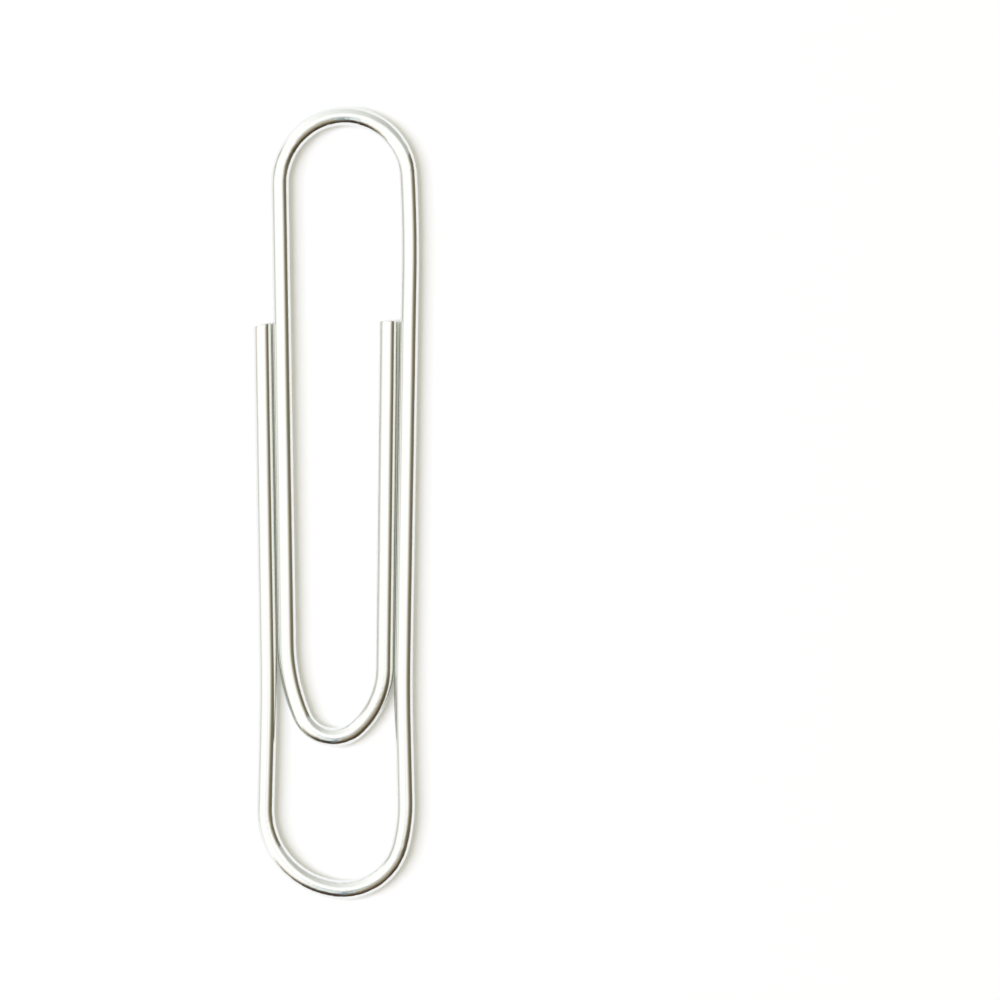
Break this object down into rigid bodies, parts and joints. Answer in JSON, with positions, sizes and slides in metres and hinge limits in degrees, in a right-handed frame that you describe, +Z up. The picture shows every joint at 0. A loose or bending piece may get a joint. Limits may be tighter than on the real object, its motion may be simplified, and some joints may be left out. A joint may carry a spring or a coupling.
{
  "type": "paper clip",
  "caption": "Double-loop paper clip formed from one bright plated steel wire, with a springy inner tongue that lifts to grip sheets of paper against the outer loop.",
  "frame": {"origin": "centre of the clip's footprint, on the surface that it lies on", "axes": "+Y along the clip, towards the return bend; +X across it, towards the long leg; +Z up, square to the clip's plane"},
  "size_m": [0.0105, 0.05, 0.0012],
  "materials": {
    "plated_wire": "bright plated, smooth drawn wire"
  },
  "bodies": {
    "frame": {"outer_leg": "plated_wire", "large_bend": "plated_wire", "long_leg": "plated_wire", "return_bend": "plated_wire"},
    "tongue": {"tongue_leg": "plated_wire", "small_bend": "plated_wire", "inner_leg": "plated_wire"}
  },
  "joints": [
    {"name": "tongue_flex", "type": "hinge", "parent": "frame", "child": "tongue", "pos_m": [-0.00353, 0.01997, 0.0006], "axis": [-1, 0, 0], "range_deg": [0, 9], "stiffness_Nm_per_rad": 0.52}
  ]
}
